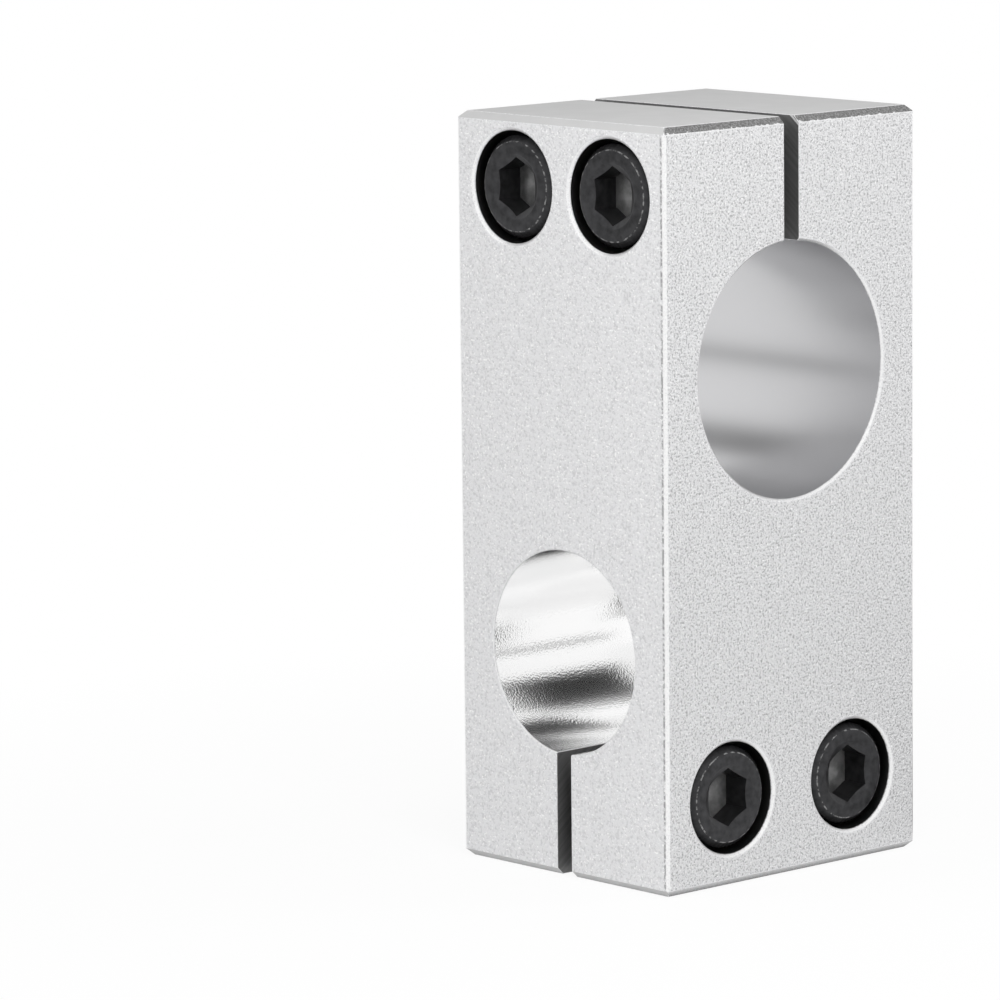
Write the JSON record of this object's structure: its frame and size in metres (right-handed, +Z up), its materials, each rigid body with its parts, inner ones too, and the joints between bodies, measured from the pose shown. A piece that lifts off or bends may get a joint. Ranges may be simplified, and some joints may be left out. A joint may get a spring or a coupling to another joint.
{
  "type": "shaft cross clamp",
  "caption": "Rectangular aluminium block that clamps round shafts of different diameters at right angles, its bores slit out to the ends and closed by recessed socket head screws.",
  "frame": {"origin": "middle of the block's bottom face, which is also where the lower slit opens", "axes": "+Z up along the block's length, +X along the upper bore and out of the face where the lower screws enter, +Y along the lower bore and away from the face where the upper screws enter"},
  "size_m": [0.029, 0.034, 0.074],
  "materials": {
    "block": "bead-blasted and clear anodised, bores fine-bored bright",
    "screws": "black oxide"
  },
  "bodies": {
    "block": {"clamp_block": "block"},
    "upper_left": {"upper_screw_left": "screws"},
    "upper_right": {"upper_screw_right": "screws"},
    "lower_left": {"lower_screw_left": "screws"},
    "lower_right": {"lower_screw_right": "screws"}
  },
  "joints": [
    {"name": "upper_left_turn", "type": "hinge", "parent": "block", "child": "upper_left", "pos_m": [-0.00675, -0.017, 0.067], "axis": [0, -1, 0], "range_deg": [0, 270]},
    {"name": "upper_right_turn", "type": "hinge", "parent": "block", "child": "upper_right", "pos_m": [0.00675, -0.017, 0.067], "axis": [0, -1, 0], "range_deg": [0, 270]},
    {"name": "lower_left_turn", "type": "hinge", "parent": "block", "child": "lower_left", "pos_m": [0.0145, -0.00825, 0.0086], "axis": [1, 0, 0], "range_deg": [0, 270]},
    {"name": "lower_right_turn", "type": "hinge", "parent": "block", "child": "lower_right", "pos_m": [0.0145, 0.00825, 0.0086], "axis": [1, 0, 0], "range_deg": [0, 270]}
  ]
}
